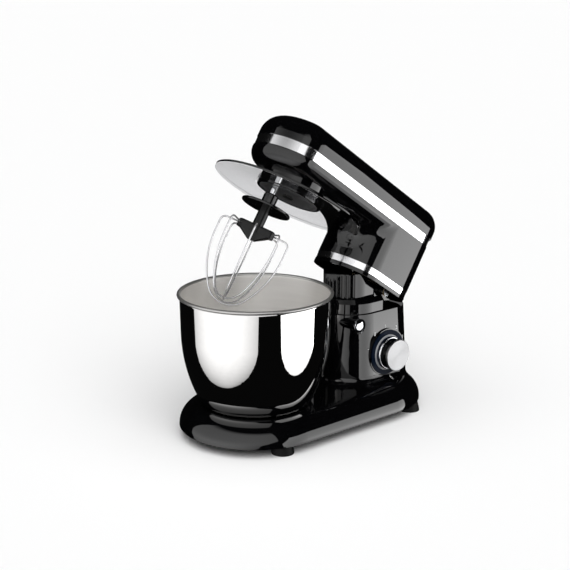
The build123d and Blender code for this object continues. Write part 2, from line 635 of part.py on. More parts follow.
# Whisk, with wires that leave the ends and the sides of a flat hub
def strand_start(angle):
    """Place inside the hub where the wire at this angle from the hub's length begins."""
    along = cos(radians(angle))
    across = sin(radians(angle))
    if abs(across) < 0.1:
        return 20.0 * along, 0.0
    if abs(along) < 0.1:
        return 0.0, 3.0 * across
    return 22.0 * along / abs(along), 3.0 * across / abs(across)


def whisk_point(across, along, height):
    """Point in whisk coordinates: X along the flat hub, turned about the beater axis."""
    turn = radians(WHISK_TURN)
    return Vector(across * cos(turn) - along * sin(turn),
                  BOWL_Y - ORBIT + across * sin(turn) + along * cos(turn), height)


def strand_places(angle, tip):
    """Points of one wire from the hub over the shoulder to the start of the round tip."""
    ray = (cos(radians(angle)), sin(radians(angle)))
    start = strand_start(angle)
    reach = (WIRE_REACH * ray[0] - start[0], WIRE_REACH * ray[1] - start[1])
    length = sqrt(reach[0] ** 2 + reach[1] ** 2)
    heading = (reach[0] / length, reach[1] / length)
    bend = sqrt(0.5)

    def shoulder(back, drop):
        return whisk_point(WIRE_REACH * ray[0] - back * heading[0], WIRE_REACH * ray[1] - back * heading[1],
                           WIRE_LEVEL - drop)

    lean = radians(35)
    fall = 132 - tip
    scale = (1 - cos(lean)) * (1 - sin(lean)) - cos(lean) * sin(lean)
    side_radius = (WIRE_REACH * (1 - sin(lean)) - cos(lean) * fall) / scale

    def side(tilt):
        reach_here = WIRE_REACH - side_radius * (1 - cos(tilt))
        return whisk_point(reach_here * ray[0], reach_here * ray[1], 132 - side_radius * sin(tilt))

    return [whisk_point(*start, WIRE_LEVEL), shoulder(WIRE_BEND, 0),
            shoulder(WIRE_BEND * (1 - bend), WIRE_BEND * (1 - bend)), shoulder(0, WIRE_BEND),
            side(0), side(lean / 2), side(lean)]


def whisk_loop(angle, tip):
    """One wire loop: down one side, round the tip and up the other side."""
    down = strand_places(angle, tip)
    up = strand_places(angle + 180, tip)
    with BuildPart() as loop:
        with BuildLine() as path:
            Line(down[0], down[1])
            ThreePointArc(down[1], down[2], down[3])
            Line(down[3], down[4])
            ThreePointArc(down[4], down[5], down[6])
            ThreePointArc(down[6], whisk_point(0, 0, tip), up[6])
            ThreePointArc(up[6], up[5], up[4])
            Line(up[4], up[3])
            ThreePointArc(up[3], up[2], up[1])
            Line(up[1], up[0])
        with BuildSketch(Plane(down[0], z_dir=down[1] - down[0])):
            Circle(WIRE_RADIUS)
        sweep(path=path.wire())
    return loop.part


HUB_PLANE = Plane((0, BOWL_Y - ORBIT, 0), x_dir=(cos(radians(WHISK_TURN)), sin(radians(WHISK_TURN)), 0),
                  z_dir=(0, 0, 1))

with BuildPart() as whisk_wires:
    for number in range(4):
        add(whisk_loop(45 * number, WIRE_TIP + 2.7 * number))

with BuildPart() as whisk_hub:
    with BuildSketch(HUB_PLANE.offset(149.5)):
        SlotOverall(55, 15)
    extrude(amount=11.5)
    fillet(whisk_hub.faces().sort_by(Axis.Z)[-1].edges(), 3)
    with BuildSketch(HUB_PLANE.offset(149.5)):
        SlotOverall(48, 13)
    with BuildSketch(HUB_PLANE.offset(138)):
        SlotOverall(12, 8)
    loft()
    add(disc(150, 190, 8.0, place=(0, -ORBIT)))
    for number in range(8):
        places = strand_places(45 * number, WIRE_TIP)
        with BuildSketch(Plane(places[0], z_dir=places[1] - places[0])):
            Circle(WIRE_RADIUS)
        extrude(amount=(places[1] - places[0]).length, mode=Mode.SUBTRACT)

with BuildPart() as dough_guard:
    add(disc(186.5, 190, 36.5, bore=8.0, place=(0, -ORBIT)))
    fillet(dough_guard.edges().filter_by(lambda edge: edge.length > 200), 1.2)

with BuildPart() as whisk_sleeve:
    add(disc(190, 209, 10.5, place=(0, -ORBIT)))
    fillet(whisk_sleeve.faces().sort_by(Axis.Z)[-1].edges(), 2)
    add(disc(198, 215, 5.0, place=(0, -ORBIT)), mode=Mode.SUBTRACT)
    add(cross_disc(-9, 9, 1.6, place=(-ORBIT, 203)), mode=Mode.SUBTRACT)

# Writing: the standing pieces as drawn, the head pieces turned up about the hinge
STANDING = {
    "base_housing": base_housing,
    "bottom_plate": bottom_plate,
    "bottom_screws": bottom_screws,
    "suction_feet": suction_feet,
    "cord_gland": cord_gland,
    "bowl_seat_plate": bowl_seat_plate,
    "seat_screws": seat_screws,
    "bowl": bowl,
    "bowl_foot": bowl_foot,
    "column_collar": column_collar,
    "hinge_tower": hinge_tower,
    "hinge_pin": hinge_pin,
    "light_ring": light_ring,
    "dial_plate": dial_plate,
    "rotary_switch": rotary_switch,
    "control_board": control_board,
    "switch_shaft": switch_shaft,
    "knob_skirt": knob_skirt,
    "knob_grip": knob_grip,
    "knob_cap": knob_cap,
    "release_stem": release_stem,
    "release_cap": release_cap,
    "latch_arm": latch_arm,
}
HEAD = {
    "head_upper_shell": head_upper_shell,
    "head_lower_shell": head_lower_shell,
    "head_trim_band": head_trim_band,
    "neck_trim_band": neck_trim_band,
    "rear_cover": rear_cover,
    "hinge_bushes": hinge_bushes,
    "hub_housing": hub_housing,
    "ring_gear": ring_gear,
    "gearbox_plate": gearbox_plate,
    "gearbox_cover": gearbox_cover,
    "ball_bearings": ball_bearings,
    "drive_belt": drive_belt,
    "motor_frame": motor_frame,
    "motor_stator": motor_stator,
    "field_coils": field_coils,
    "brush_holders": brush_holders,
    "motor_mounts": motor_mounts,
    "carrier_disc": carrier_disc,
    "carrier_shaft": carrier_shaft,
    "carrier_nut": carrier_nut,
    "main_gear": main_gear,
    "planet_pinion": planet_pinion,
    "beater_shaft": beater_shaft,
    "cross_pin": cross_pin,
    "whisk_sleeve": whisk_sleeve,
    "dough_guard": dough_guard,
    "whisk_hub": whisk_hub,
    "whisk_wires": whisk_wires,
    "countershaft": countershaft,
    "large_pulley": large_pulley,
    "motor_shaft": motor_shaft,
    "armature": armature,
    "commutator": commutator,
    "cooling_fan": cooling_fan,
    "motor_pulley": motor_pulley,
    "splash_guard": splash_guard,
}

for label, builder in STANDING.items():
    builder.part.label = label
    export_step(builder.part, f"parts/{label}.step")

HINGE_AXIS = Axis((0, BOWL_Y + HINGE_Y, HINGE_Z), (1, 0, 0))
for label, builder in HEAD.items():
    raised = builder.part.rotate(HINGE_AXIS, -HEAD_TILT)
    raised.label = label
    export_step(raised, f"parts/{label}.step")
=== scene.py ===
# %% [markdown]
# # Stand mixer
# The mixer stands as photographed: head raised, whisk fitted, polished bowl on its seat. The CAD model is
# loaded as a fixed frame. This script gives every surface its finish, draws the pieces that a plain solid
# can't show well as numpy surfaces, and sets up the camera and the studio.

import bmesh
import bpy
import numpy as np
from mathutils import Matrix, Vector


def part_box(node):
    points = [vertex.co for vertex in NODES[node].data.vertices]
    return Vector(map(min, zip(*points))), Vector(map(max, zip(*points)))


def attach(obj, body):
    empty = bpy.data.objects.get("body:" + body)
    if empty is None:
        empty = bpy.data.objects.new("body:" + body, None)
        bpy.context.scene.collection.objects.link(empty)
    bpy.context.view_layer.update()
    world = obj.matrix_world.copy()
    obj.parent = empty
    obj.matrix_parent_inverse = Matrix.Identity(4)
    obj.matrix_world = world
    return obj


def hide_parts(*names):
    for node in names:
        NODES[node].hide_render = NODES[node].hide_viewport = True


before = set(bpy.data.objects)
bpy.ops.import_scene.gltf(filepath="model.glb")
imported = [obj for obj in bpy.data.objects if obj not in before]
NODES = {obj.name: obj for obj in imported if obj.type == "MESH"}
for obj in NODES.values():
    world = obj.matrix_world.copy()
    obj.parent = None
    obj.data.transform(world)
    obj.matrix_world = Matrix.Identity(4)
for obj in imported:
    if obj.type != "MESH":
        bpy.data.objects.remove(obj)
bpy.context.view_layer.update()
scene = bpy.context.scene

# %% [markdown]
# ## Camera
# The lens, height and turn were worked out from the rim of the bowl, the feet and the silver bands, whose
# real shapes are known. A camera object could be aimed with a Track To constraint; its three axes are
# written straight into its matrix here, so the view is the same on each run.

# %% Camera
FRAME_PIXELS = 570
FOCAL_PIXELS = 1206.63
CENTRE_PIXEL = 287.0
VIEW_TURN, VIEW_HEIGHT = np.radians([48.66, 14.52])
CAMERA_PLACE = Vector((1.26609, -1.16255, 0.64180))

camera_right = Vector((np.cos(VIEW_TURN), np.sin(VIEW_TURN), 0.0))
camera_back = Vector((np.sin(VIEW_TURN) * np.cos(VIEW_HEIGHT), -np.cos(VIEW_TURN) * np.cos(VIEW_HEIGHT),
                      np.sin(VIEW_HEIGHT)))
camera_up = camera_back.cross(camera_right)
lens = bpy.data.cameras.new("camera")
lens.sensor_width = 36.0
lens.lens = lens.sensor_width * FOCAL_PIXELS / FRAME_PIXELS
lens.shift_x = (FRAME_PIXELS / 2 - CENTRE_PIXEL) / FRAME_PIXELS
lens.shift_y = (CENTRE_PIXEL - FRAME_PIXELS / 2) / FRAME_PIXELS
camera = bpy.data.objects.new("camera", lens)
camera.matrix_world = Matrix.Translation(CAMERA_PLACE) @ Matrix(
    (camera_right, camera_up, camera_back)).transposed().to_4x4()
scene.collection.objects.link(camera)
scene.camera = camera
print("lens", round(lens.lens, 2), "mm")

# %% [markdown]
# ## Node helper and colours
# Every finish below is a small node tree. One function adds a node, sets its properties, and fills each
# input either with a value or with a link. Colours are written as sRGB hex, the way a paint chart gives
# them.

# %% Node helper and colours
def add_node(tree, kind, inputs=None, **settings):
    """Node of one kind in a tree; an input that is given a socket is linked to it, any other is set."""
    made = tree.nodes.new(kind)
    for name, value in settings.items():
        setattr(made, name, value)
    for socket, value in (inputs or {}).items():
        if isinstance(value, bpy.types.NodeSocket):
            tree.links.new(value, made.inputs[socket])
        else:
            made.inputs[socket].default_value = value
    return made


def linear(hex_colour):
    """Linear RGBA of an sRGB hex value: c/12.92 near black, else ((c + 0.055) / 1.055) to the power 2.4."""
    srgb = np.array([int(hex_colour[at:at + 2], 16) for at in (1, 3, 5)]) / 255
    return (*np.where(srgb <= 0.04045, srgb / 12.92, ((srgb + 0.055) / 1.055) ** 2.4), 1.0)


def blend(tree, share, first, second):
    """Colour between two others, by a share from 0 to 1.

    The sockets of a Mix node go by number: 0 is the share, 6 and 7 are the colours, and 2 is the result.
    """
    return add_node(tree, "ShaderNodeMix", {0: share, 6: first, 7: second}, data_type="RGBA").outputs[2]


def new_material(name):
    """Empty material with its tree, ready for a shader."""
    material = bpy.data.materials.new(name)
    material.use_nodes = True
    material.node_tree.nodes.clear()
    return material, material.node_tree


print("black", linear("#0a0a0b"))

# %% [markdown]
# ## Surfaces from formulas
# Turned, bent and drawn pieces are grids of points: one parameter runs along a profile or a path, the other
# round it. Whole numpy arrays make the points, and the seam and the poles share their vertices. A Screw or
# Curve bevel could do the same; the grid also gives a clean UV map, which the spun finishes need.

# %% Surfaces from formulas
MM = 0.001
# Points closer than this are one: in metres on a mesh, in millimetres on a profile
WELD, SAME = 1e-7, 1e-6


def add_surface(name, points, closed_rows=False):
    """Mesh over points (rows, columns, 3) in metres: each cell of the grid is one quad, columns close up.

    The UV map "grid" counts 0 to 1 round the columns and 0 to 1 along the rows.
    """
    rows, columns = points.shape[:2]
    cell_rows = rows if closed_rows else rows - 1
    row, column = np.meshgrid(np.arange(cell_rows), np.arange(columns), indexing="ij")
    corner_rows = np.stack([row, row, row + 1, row + 1], -1)
    corner_columns = np.stack([column, column + 1, column + 1, column], -1)
    corners = (corner_rows % rows) * columns + corner_columns % columns
    mesh = bpy.data.meshes.new(name)
    mesh.from_pydata(points.reshape(-1, 3).tolist(), [], corners.reshape(-1, 4).tolist())
    grid = np.stack([corner_columns / columns, corner_rows / max(rows - 1, 1)], -1)
    mesh.uv_layers.new(name="grid").uv.foreach_set("vector", grid.astype(np.float32).ravel())
    shape = bmesh.new()
    shape.from_mesh(mesh)
    bmesh.ops.remove_doubles(shape, verts=shape.verts, dist=WELD)
    shape.to_mesh(mesh)
    shape.free()
    mesh.shade_smooth()
    piece = bpy.data.objects.new(name, mesh)
    scene.collection.objects.link(piece)
    return piece


def turned(radii, heights, columns=192):
    """Surface of revolution: x = r cos a, y = r sin a, z = h, for a from 0 to a full turn."""
    angle = np.linspace(0, 2 * np.pi, columns, endpoint=False)
    radii, heights = np.asarray(radii)[:, None], np.asarray(heights)[:, None]
    return np.stack([radii * np.cos(angle), radii * np.sin(angle), heights + 0 * angle], -1)


def arc(centre, radius, start, end, count):
    """Points of a circular arc between two angles in degrees, as (across, up)."""
    angle = np.radians(np.linspace(start, end, count))
    return np.stack([centre[0] + radius * np.cos(angle), centre[1] + radius * np.sin(angle)], -1)


def outline(*stretches, spacing=0.5):
    """Polyline through stretches of points, with a point about every spacing millimetres on long lines."""
    corners = np.concatenate([np.atleast_2d(stretch) for stretch in stretches])
    lengths = np.linalg.norm(np.diff(corners, axis=0), axis=1)
    corners = corners[np.append(True, lengths > SAME)]
    lengths = lengths[lengths > SAME]
    along = np.append(0, np.cumsum(lengths))
    fine = np.union1d(along, np.linspace(0, along[-1], int(along[-1] / spacing)))
    return np.interp(fine, along, corners[:, 0]), np.interp(fine, along, corners[:, 1])


def face_values(piece, kind):
    """Centre or normal of every face of a piece, as an array (faces, 3)."""
    values = np.empty(3 * len(piece.data.polygons))
    piece.data.polygons.foreach_get(kind, values)
    return values.reshape(-1, 3)


print("points of a turned grid", turned([1.0, 2.0], [0.0, 1.0]).shape)

# %% [markdown]
# ## Where things are
# The bowl axis, the hinge and the knob are read from the frame. Standing pieces only move over to the bowl
# axis; pieces of the head are drawn level, as when the head is closed, and turn up about the hinge pin.

# %% Where things are
HEAD_TILT = np.radians(33.3)
bowl_low, bowl_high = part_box("bowl")
pin_low, pin_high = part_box("hinge_pin")
cap_low, cap_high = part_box("knob_cap")
BOWL_Y = (bowl_low.y + bowl_high.y) / 2
HINGE_Y, HINGE_Z = (pin_low.y + pin_high.y) / 2, (pin_low.z + pin_high.z) / 2
KNOB_Y, KNOB_Z = (cap_low.y + cap_high.y) / 2, (cap_low.z + cap_high.z) / 2


def standing(points):
    """Millimetres from the bowl axis to metres in the frame."""
    return points * MM + np.array([0.0, BOWL_Y, 0.0])


def raised(points):
    """Level head millimetres from the bowl axis, turned up about the hinge by the head's tilt."""
    level = standing(points) - np.array([0.0, HINGE_Y, HINGE_Z])
    turn = np.array([[1, 0, 0], [0, np.cos(HEAD_TILT), np.sin(HEAD_TILT)],
                     [0, -np.sin(HEAD_TILT), np.cos(HEAD_TILT)]])
    return level @ turn.T + np.array([0.0, HINGE_Y, HINGE_Z])


def facing_knob(points):
    """Millimetres about a z axis to metres about the knob's axis, which points along +X."""
    return points[..., [2, 0, 1]] * MM + np.array([0.0, KNOB_Y, KNOB_Z])


print("bowl axis", round(BOWL_Y, 5), "hinge", round(HINGE_Y, 5), round(HINGE_Z, 5))

# %% [markdown]
# ## Floor
# The ground in the photograph is plain white and runs out of sight, but the steel of the bowl does not show
# it. A curved backdrop could do that; a very large flat square is simpler, and it is left out of mirror
# rays.

# %% Floor
FLOOR_REACH = 90.0

scene.view_settings.view_transform = "Standard"
floor_mesh = bpy.data.meshes.new("floor")
floor_corners = FLOOR_REACH * np.array([(-1, -1, 0), (1, -1, 0), (1, 1, 0), (-1, 1, 0)])
floor_mesh.from_pydata(floor_corners.tolist(), [], [(0, 1, 2, 3)])
floor = bpy.data.objects.new("floor", floor_mesh)
scene.collection.objects.link(floor)
floor.visible_glossy = False
floor_paper, tree = new_material("matt_white_paper")
paper = add_node(tree, "ShaderNodeBsdfDiffuse", {"Color": linear("#f4f4f4")})
add_node(tree, "ShaderNodeOutputMaterial", {"Surface": paper.outputs["BSDF"]})
floor_mesh.materials.append(floor_paper)
print("floor", FLOOR_REACH, "m each way")

# %% [markdown]
# ## World and suns
# Gloss black and polished steel show little of their own: what the eye sees is the room in them. In the
# photograph that room is dark, while the ground behind is white. So the world is white to the camera and
# through clear plastic, and dark to every other ray. Two wide suns light the floor and everything dull at a
# plain level.

# %% World and suns
# Each sun: where it shines from, its strength, and how wide it is in degrees
SUNS = {"sun_above": ((0.5, -0.4, 2.0), 2.6, 100.0), "sun_front": ((1.2, -0.6, 1.2), 1.4, 60.0)}

world = bpy.data.worlds.new("dark_studio")
scene.world = world
world.use_nodes = True
tree = world.node_tree
tree.nodes.clear()
rays = add_node(tree, "ShaderNodeLightPath").outputs
seen = add_node(tree, "ShaderNodeMath", {0: rays["Is Camera Ray"], 1: rays["Is Transmission Ray"]},
                operation="MAXIMUM")
dark = add_node(tree, "ShaderNodeBackground", {"Color": linear("#0b0b0b"), "Strength": 1.0})
white = add_node(tree, "ShaderNodeBackground", {"Color": linear("#ffffff"), "Strength": 1.0})
either = add_node(tree, "ShaderNodeMixShader", {0: seen.outputs[0], 1: dark.outputs[0],
                                                2: white.outputs[0]})
add_node(tree, "ShaderNodeOutputWorld", {"Surface": either.outputs[0]})

for name, (place, strength, spread) in SUNS.items():
    lamp = bpy.data.lights.new(name, "SUN")
    lamp.energy = strength
    lamp.angle = np.radians(spread)
    sun = bpy.data.objects.new(name, lamp)
    sun.location = place
    sun.rotation_euler = Vector(place).to_track_quat("Z", "Y").to_euler()
    sun.visible_glossy = False
    scene.collection.objects.link(sun)
print("suns", list(SUNS))

# %% [markdown]
# ## Bright panels
# The bowl shows a wide window on its left and a narrow one on its right, both round at the foot. The head,
# the column and the base show parts of the same two, and a dim third panel behind the mixer draws a thin
# light line along its edges. Area lamps are plain rectangles, so each panel is a glowing sheet on a
# cylinder round the mixer, with its own edges and brightness at each height. The sheets show in mirror rays
# only.

# %% Bright panels
PANEL_DISTANCE = 1.3
PANEL_AIM = np.array([0.0, -0.06, 0.16])
# Rows of each panel from low to high: the slope of the row as seen from the mixer, the turns of its left
# and right edge in degrees from the camera's direction, and how bright it is at its left, middle and right
PANELS = {
    "panel_left": [(-0.97, -47, -47, 0.3, 0.4, 0.3), (-0.75, -83, -13, 0.6, 1.2, 0.6),
                   (-0.50, -95, -1, 0.8, 1.7, 0.8), (-0.22, -99, 5, 1.1, 2.1, 1.1),
                   (0.08, -100, 30, 1.0, 1.5, 1.2), (0.90, -100, 30, 1.0, 1.3, 1.2),
                   (1.50, -100, 30, 0.0, 0.0, 0.0)],
    "panel_right": [(-0.73, 67, 67, 1.7, 1.7, 1.7), (-0.60, 47, 86, 1.7, 1.7, 1.7),
                    (-0.42, 39, 94, 2.4, 2.0, 1.8), (-0.32, 37, 96, 3.0, 2.8, 6.8),
                    (-0.20, 35, 97, 3.0, 2.6, 5.0), (0.05, 42, 98, 3.0, 2.6, 3.6),
                    (0.20, 48, 98, 3.0, 2.6, 3.2)],
    "panel_rear": [(-0.60, 160, 184, 0.7, 0.7, 0.7), (0.10, 158, 184, 0.6, 0.6, 0.6),
                   (0.45, 158, 184, 0.0, 0.0, 0.0)],
}


def panel_grid(table, rows=80, columns=40):
    """Curved sheet on a cylinder round the mixer, with its brightness, both read between rows of a table.

    Reading by the root of the height above the lowest row rounds that end off. Across a row the brightness
    is the parabola through its left, middle and right value.
    """
    table = np.array(table)
    level = np.sqrt(table[:, 0] - table[0, 0])
    rise = np.linspace(0, level[-1], rows)
    left, right, *glow = [np.interp(rise, level, values)[:, None] for values in table.T[1:]]
    across = np.linspace(0, 1, columns)
    parabola = [(1 - across) * (1 - 2 * across), 4 * across * (1 - across), across * (2 * across - 1)]
    heading = VIEW_TURN + np.radians(left + across * (right - left))
    slope = table[0, 0] + rise[:, None] ** 2
    sheet = np.stack([np.sin(heading), -np.cos(heading), slope + 0 * heading], -1)
    return PANEL_AIM + PANEL_DISTANCE * sheet, sum(part * share for part, share in zip(glow, parabola))


for name, table in PANELS.items():
    points, glow = panel_grid(table)
    rows, columns = glow.shape
    mesh = bpy.data.meshes.new(name)
    corner = (np.arange(rows - 1)[:, None] * columns + np.arange(columns - 1)).ravel()[:, None]
    quads = corner + np.array([0, 1, columns + 1, columns])
    mesh.from_pydata(points.reshape(-1, 3).tolist(), [], quads.tolist())
    brightness = mesh.attributes.new("glow", "FLOAT", "POINT")
    brightness.data.foreach_set("value", glow.astype(np.float32).ravel())
    sheet = bpy.data.objects.new(name, mesh)
    scene.collection.objects.link(sheet)
    sheet.visible_camera = False
    sheet.visible_diffuse = False
    sheet.visible_transmission = False
    sheet.visible_shadow = False
    cloth, tree = new_material(name + "_cloth")
    strength = add_node(tree, "ShaderNodeAttribute", attribute_name="glow").outputs["Fac"]
    lit = add_node(tree, "ShaderNodeEmission", {"Color": linear("#ffffff"), "Strength": strength})
    add_node(tree, "ShaderNodeOutputMaterial", {"Surface": lit.outputs[0]})
    mesh.materials.append(cloth)
print("panels", list(PANELS))

# %% [markdown]
# ## One recipe for most finishes
# A real moulding or casting is never one flat colour: its tint and its gloss drift a little, and its skin
# has a fine grain. The recipe reads a noise of one real grain size in millimetres, lets it drift between
# two colours and two roughness values, and presses it into the normal with a Bump node. Spun and brushed
# metal reads the grid UV map instead, so that the lines run round the piece and its highlights stretch
# across them.

# %% One recipe for most finishes
# The noise lies mostly between these two values, and its full height is this many millimetres
NOISE_LOW, NOISE_HIGH, NOISE_DEPTH = 0.3, 0.7, 0.1
# A quarter turn sets the highlight across the lines
ACROSS_LINES = 0.25


def finish(name, colours, roughness, grain, stretch=(1, 1, 1), bump=0.0, spun=0.0, **values):
    """Principled material that drifts between two colours and two roughness values over a noise.

    Grain is in millimetres, or in turns and profile lengths on a spun piece, which reads its grid map.
    """
    material, tree = new_material(name)
    source = add_node(tree, "ShaderNodeTexCoord").outputs["UV" if spun else "Object"]
    unit = 1.0 if spun else 1.0 / MM
    scale = [unit / (grain * side) for side in stretch]
    mapped = add_node(tree, "ShaderNodeMapping", {"Vector": source, "Scale": scale})
    noise = add_node(tree, "ShaderNodeTexNoise", {"Vector": mapped.outputs[0], "Scale": 1.0, "Detail": 3.0})
    height = noise.outputs["Fac"]
    colour = blend(tree, height, linear(colours[0]), linear(colours[1]))
    rough = add_node(tree, "ShaderNodeMapRange", {"Value": height, "From Min": NOISE_LOW,
                                                  "From Max": NOISE_HIGH, "To Min": roughness[0],
                                                  "To Max": roughness[1]})
    shader = add_node(tree, "ShaderNodeBsdfPrincipled", {"Base Color": colour,
                                                         "Roughness": rough.outputs[0]})
    for socket, value in values.items():
        shader.inputs[socket.replace("_", " ")].default_value = value
    if bump:
        pressed = add_node(tree, "ShaderNodeBump", {"Height": height, "Strength": bump,
                                                    "Distance": NOISE_DEPTH * MM})
        tree.links.new(pressed.outputs[0], shader.inputs["Normal"])
    if spun:
        shader.inputs["Anisotropic"].default_value = spun
        shader.inputs["Anisotropic Rotation"].default_value = ACROSS_LINES
        tangent = add_node(tree, "ShaderNodeTangent", direction_type="UV_MAP", uv_map="grid")
        tree.links.new(tangent.outputs[0], shader.inputs["Tangent"])
    add_node(tree, "ShaderNodeOutputMaterial", {"Surface": shader.outputs[0]})
    return material


print("noise read from", NOISE_LOW, "to", NOISE_HIGH)

# %% [markdown]
# ## Black mouldings, rubber and paint
# The shells are moulded in polished steel tools, so they leave them as glossy as lacquer. Working parts are
# duller nylon, and the feet are rubber. A glossy black lives from its mirror images, so its own colour is
# almost nothing, while the dull ones have little gloss and a grain that breaks the highlight up.

# %% Black mouldings, rubber and paint
FINISHES = {}
# Polished ABS: the eye gets deep black with sharp mirror images; a faint waviness from the mould
FINISHES["gloss_black"] = finish("polished_black_abs", ("#030304", "#050506"), (0.02, 0.04), 9.0,
                                 bump=0.002, IOR=1.54)
# Nylon and textured ABS: soft highlights, fine spark-eroded skin, drawn coarser than the real 0.05 mm
FINISHES["satin_black"] = finish("satin_black_nylon", ("#040405", "#080809"), (0.16, 0.24), 0.5, bump=0.03,
                                 IOR=1.53, Specular_IOR_Level=0.25)
# Moulded rubber: nearly no highlight, slightly dusty
FINISHES["rubber_black"] = finish("black_rubber", ("#060606", "#0c0c0c"), (0.5, 0.65), 0.8, bump=0.1,
                                  IOR=1.45, Specular_IOR_Level=0.15)
# Grey printed ring of the dial, a painted moulding
FINISHES["dial_grey"] = finish("grey_painted_abs", ("#8c8d90", "#97989b"), (0.25, 0.35), 0.6, bump=0.03,
                               IOR=1.5)
# Light guide: dark blue acrylic that glows when the mixer runs, here switched off
FINISHES["light_blue"] = finish("dark_blue_acrylic", ("#070f1c", "#0a1526"), (0.3, 0.4), 3.0, IOR=1.49,
                                Specular_IOR_Level=0.05)
# Glass filled nylon of the carrier: a dull dark grey
FINISHES["filled_nylon"] = finish("glass_filled_nylon", ("#48484a", "#545456"), (0.3, 0.42), 0.8, bump=0.05,
                                  IOR=1.53)
print("mouldings", list(FINISHES))

# %% [markdown]
# ## Metals
# Bare metal takes its colour from the mirror image alone, so Metallic is 1 and the colour is the tint of
# the mirror. The metals differ in roughness, from plated to cast, and in how their grain runs. Where
# Metallic is less, a dull share stands in for lacquer, or on the wires for the pale floor, which mirror
# rays do not meet.

# %% Metals
# Anodised trim strip: bright and even, with a faint drawing grain along it
FINISHES["silver_trim"] = finish("bright_anodised_strip", ("#e6e6e8", "#eeeeef"), (0.1, 0.16), 0.4,
                                 stretch=(20, 20, 1), Metallic=1.0)
# Chromium plate: cool and mirror bright
FINISHES["chrome"] = finish("chromium_plate", ("#dedfe2", "#e6e7ea"), (0.03, 0.06), 5.0, Metallic=1.0)
# Satin stainless steel of the bowl's foot ring
FINISHES["bowl_base_steel"] = finish("satin_steel_ring", ("#bfbdb9", "#cbc9c5"), (0.2, 0.3), 0.5,
                                     Metallic=1.0)
# Drawn stainless wire: pale, with a soft line of light along it, and a dull share for the floor
FINISHES["wire_steel"] = finish("drawn_steel_wire", ("#cfcfd1", "#dbdbdd"), (0.16, 0.26), 1.5,
                                Metallic=0.75)
# Blackened steel of the nut under the carrier: its oxide coat is dark and dull, not a mirror
FINISHES["blackened_steel"] = finish("blackened_steel", ("#0b0b0c", "#161617"), (0.3, 0.4), 1.0, IOR=1.5)
# Zinc plating on screws, pins and shafts: slightly blue and cloudy
FINISHES["zinc_steel"] = finish("zinc_plated_steel", ("#a9adb2", "#c2c5c8"), (0.22, 0.38), 2.0,
                                Metallic=1.0)
# Machined and oiled gear steel: greyish, with fine tool lines along the axis
FINISHES["gear_steel"] = finish("machined_steel", ("#8b8a88", "#a3a2a0"), (0.25, 0.38), 0.6,
                                stretch=(1, 1, 8), Metallic=1.0)
# Die cast aluminium: dull, a little porous
FINISHES["cast_aluminium"] = finish("die_cast_aluminium", ("#a2a3a5", "#b9babb"), (0.38, 0.52), 1.2,
                                    bump=0.2, Metallic=1.0)
# Edges of stacked motor sheet, 0.5 mm thick and lacquered: dark stripes
FINISHES["lamination"] = finish("stacked_motor_sheet", ("#3a3a3c", "#565658"), (0.35, 0.5), 0.5,
                                stretch=(40, 40, 1), bump=0.2, Metallic=0.8)
# Lacquered copper wire and copper bars: warm and glossy
FINISHES["copper"] = finish("lacquered_copper", ("#b4673a", "#cf8450"), (0.2, 0.32), 0.7, stretch=(1, 8, 1),
                            bump=0.2, Metallic=1.0)
print("finishes so far", len(FINISHES))

# %% [markdown]
# ## Inner plastics and the board
# Nothing inside is made to be seen, so it keeps the colour of its raw material. These finishes show only
# when the shells are taken off, and follow the same recipe.

# %% Inner plastics and the board
# Unpainted phenolic and nylon pieces inside: matt, ivory to tan
FINISHES["tan_plastic"] = finish("moulded_phenolic", ("#b29c78", "#c3ae8b"), (0.4, 0.55), 1.0, bump=0.08,
                                 IOR=1.55)
# Fibre glass board with green solder mask: glossy over a weave of about 0.6 mm
FINISHES["board_green"] = finish("green_solder_mask", ("#0f4a2a", "#17603a"), (0.25, 0.35), 0.6, bump=0.1,
                                 IOR=1.55)
print("finishes so far", len(FINISHES))

# %% [markdown]
# ## Clear plastic
# The splash guard is clear injection moulded plastic. Against white it looks light grey, and its edge looks
# nearly black, because little light comes the long way through the sheet; that dark edge is painted shade
# here, a dark tint on the rim faces. Glass shaders bend the view in a thick solid. A sheet this thin hardly
# does, so each face is a see-through shader with a mirror coat on it that grows towards a flat angle, as
# Fresnel's law has it.

# %% Clear plastic
# Refraction of acrylic, the size of its faint haze in millimetres, and the tint of faces seen from behind
CLEAR_IOR, HAZE_SIZE, BACK_TINT = 1.49, 25.0, "#f6f6f7"


def clear_plastic(name, tints, roughness):
    """Thin clear sheet: light passes straight through, tinted, and outer faces mirror a Fresnel share."""
    material, tree = new_material(name)
    source = add_node(tree, "ShaderNodeTexCoord").outputs["Object"]
    haze = add_node(tree, "ShaderNodeTexNoise", {"Vector": source, "Scale": 1 / (HAZE_SIZE * MM),
                                                 "Detail": 2.0})
    tone = blend(tree, haze.outputs["Fac"], linear(tints[0]), linear(tints[1]))
    behind = add_node(tree, "ShaderNodeNewGeometry").outputs["Backfacing"]
    tint = blend(tree, behind, tone, linear(BACK_TINT))
    passing = add_node(tree, "ShaderNodeBsdfTransparent", {"Color": tint})
    mirror = add_node(tree, "ShaderNodeBsdfGlossy", {"Color": linear("#ffffff"), "Roughness": roughness})
    fresnel = add_node(tree, "ShaderNodeFresnel", {"IOR": CLEAR_IOR})
    front = add_node(tree, "ShaderNodeMath", {0: 1.0, 1: behind}, operation="SUBTRACT")
    share = add_node(tree, "ShaderNodeMath", {0: fresnel.outputs[0], 1: front.outputs[0]},
                     operation="MULTIPLY")
    mixed = add_node(tree, "ShaderNodeMixShader", {0: share.outputs[0], 1: passing.outputs[0],
                                                   2: mirror.outputs[0]})
    add_node(tree, "ShaderNodeOutputMaterial", {"Surface": mixed.outputs[0]})
    return material


